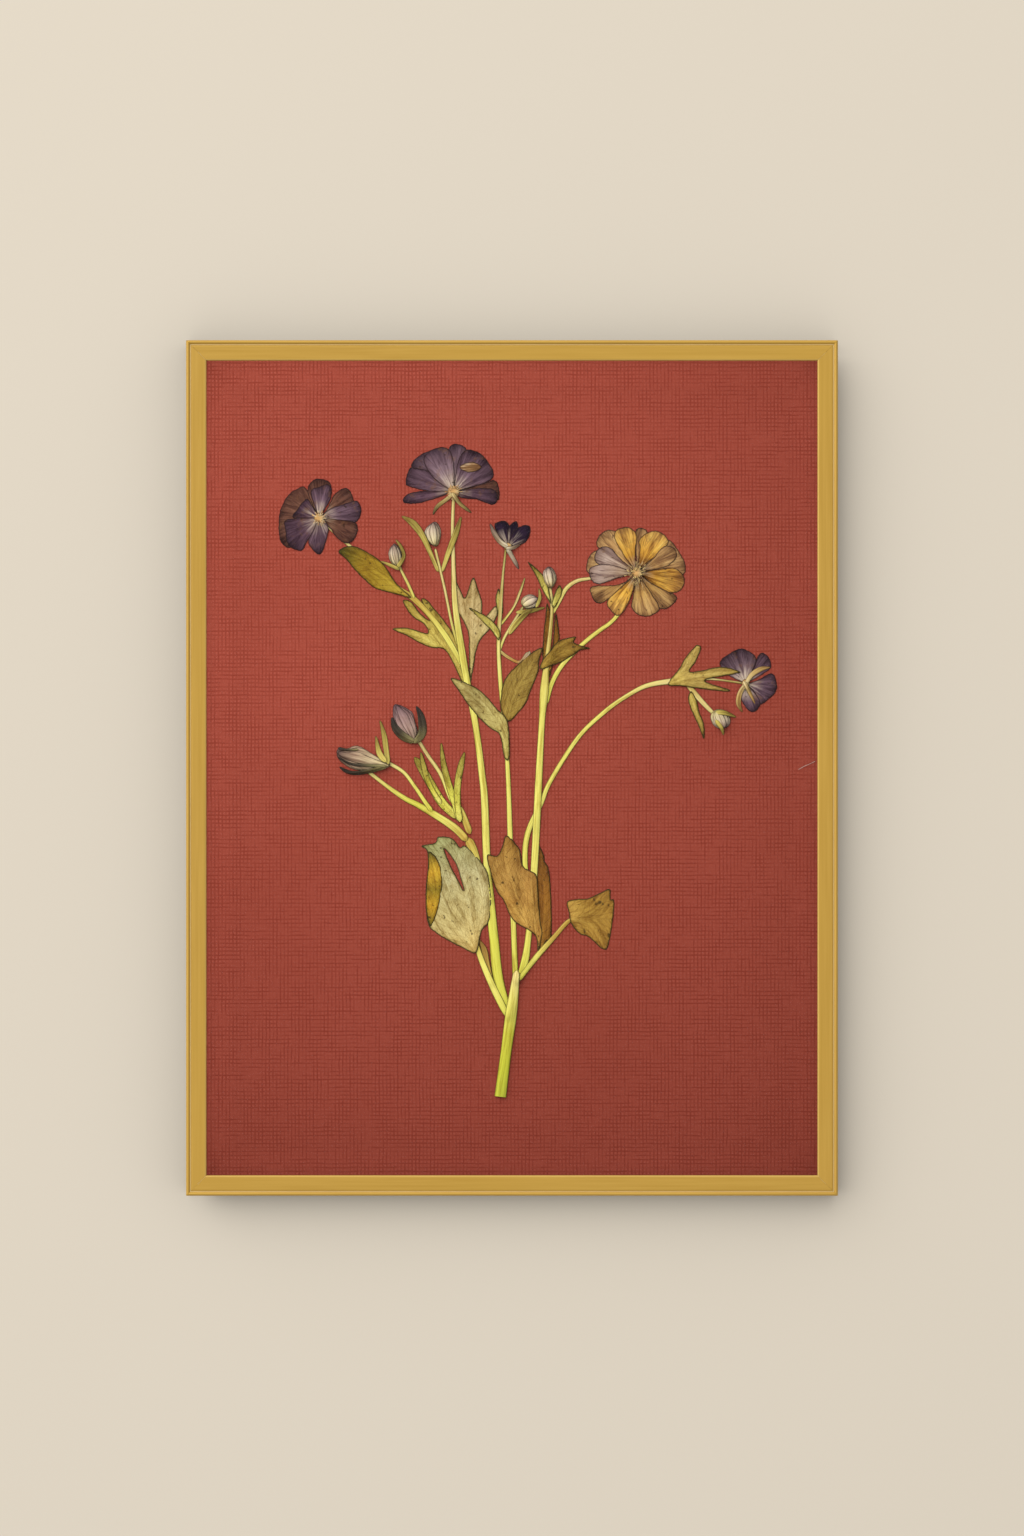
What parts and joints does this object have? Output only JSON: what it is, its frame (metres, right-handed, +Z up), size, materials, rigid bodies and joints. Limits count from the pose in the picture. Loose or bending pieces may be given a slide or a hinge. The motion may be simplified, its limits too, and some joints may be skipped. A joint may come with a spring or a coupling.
{
  "type": "pressed flower frame",
  "caption": "Narrow gold picture frame holding a dried, pressed flower spray with stems, leaves, buds and petals on a red linen-textured card behind clear glazing, with a wall hanger.",
  "frame": {"origin": "the hanging point: the top of the hanger's middle notch, brought straight back to the wall plane y = 0", "axes": "+Z up the wall, +X to the right as seen from the front, the front faces -Y, the wall is y = 0"},
  "size_m": [0.32, 0.0215, 0.42],
  "materials": {
    "gold_frame": "satin gold paint on a wooden moulding",
    "clear_glazing": "clear, reflection-free picture glazing",
    "spacer_board": "matt off-white board",
    "red_card": "matt brick-red card with a linen texture",
    "backing_board": "matt brown fibre board",
    "hanger_steel": "thin zinc- and brass-coated sheet",
    "tab_steel": "dull spring steel",
    "wall_felt": "dark felt",
    "dried_stem": "dried plant, yellow-green, satin",
    "pale_leaf": "dried leaf, pale grey-green to tan, matt",
    "brown_leaf": "dried leaf, brown with darker veins, matt",
    "green_leaf": "dried leaf, olive to yellow-green, matt",
    "purple_petal": "dried petal, grey-purple with dark veins, matt",
    "dark_petal": "dried petal, near-black purple, matt",
    "yellow_petal": "dried petal, yellow with lilac-brown patches, matt",
    "bud": "dried bud, cream with dark streaks, matt"
  },
  "bodies": {
    "root": {"top_rail": "gold_frame", "bottom_rail": "gold_frame", "left_rail": "gold_frame", "right_rail": "gold_frame", "glazing": "clear_glazing", "spacer_top": "spacer_board", "spacer_bottom": "spacer_board", "spacer_left": "spacer_board", "spacer_right": "spacer_board", "mount_card": "red_card", "backing_board": "backing_board", "sawtooth_hanger": "hanger_steel", "hanger_nail_left": "hanger_steel", "hanger_nail_right": "hanger_steel", "retaining_tab_1": "tab_steel", "retaining_tab_2": "tab_steel", "retaining_tab_3": "tab_steel", "retaining_tab_4": "tab_steel", "wall_pad_left": "wall_felt", "wall_pad_right": "wall_felt", "main_stem": "dried_stem", "left_stem": "dried_stem", "middle_stem": "dried_stem", "right_stem": "dried_stem", "arching_stem": "dried_stem", "left_flower_stalk": "dried_stem", "yellow_flower_stalk": "dried_stem", "upper_side_stalk": "dried_stem", "low_left_stem": "dried_stem", "outer_bud_stalk": "dried_stem", "inner_bud_stalk": "dried_stem", "upper_left_bud_stalk": "dried_stem", "hanging_bud_stalk": "dried_stem", "large_pale_leaf": "pale_leaf", "tan_leaf": "pale_leaf", "grey_green_leaf": "pale_leaf", "large_brown_leaf": "brown_leaf", "brown_leaf_fold": "brown_leaf", "small_brown_leaf": "brown_leaf", "upright_brown_leaf": "brown_leaf", "lying_brown_leaf": "brown_leaf", "narrow_dark_leaves": "brown_leaf", "olive_leaf": "green_leaf", "three_lobed_leaf": "green_leaf", "end_leaf": "green_leaf", "hanging_leaflet": "green_leaf", "low_left_leaf": "green_leaf", "left_flower": "purple_petal", "top_flower": "purple_petal", "right_flower": "purple_petal", "small_dark_flower": "dark_petal", "yellow_flower": "yellow_petal", "upper_left_bud": "bud", "upper_middle_bud": "bud", "centre_bud": "bud", "upper_right_bud": "bud", "far_right_bud": "bud", "low_outer_bud": "bud", "low_tendril_bud": "bud", "low_inner_bud": "bud"}
  },
  "joints": []
}
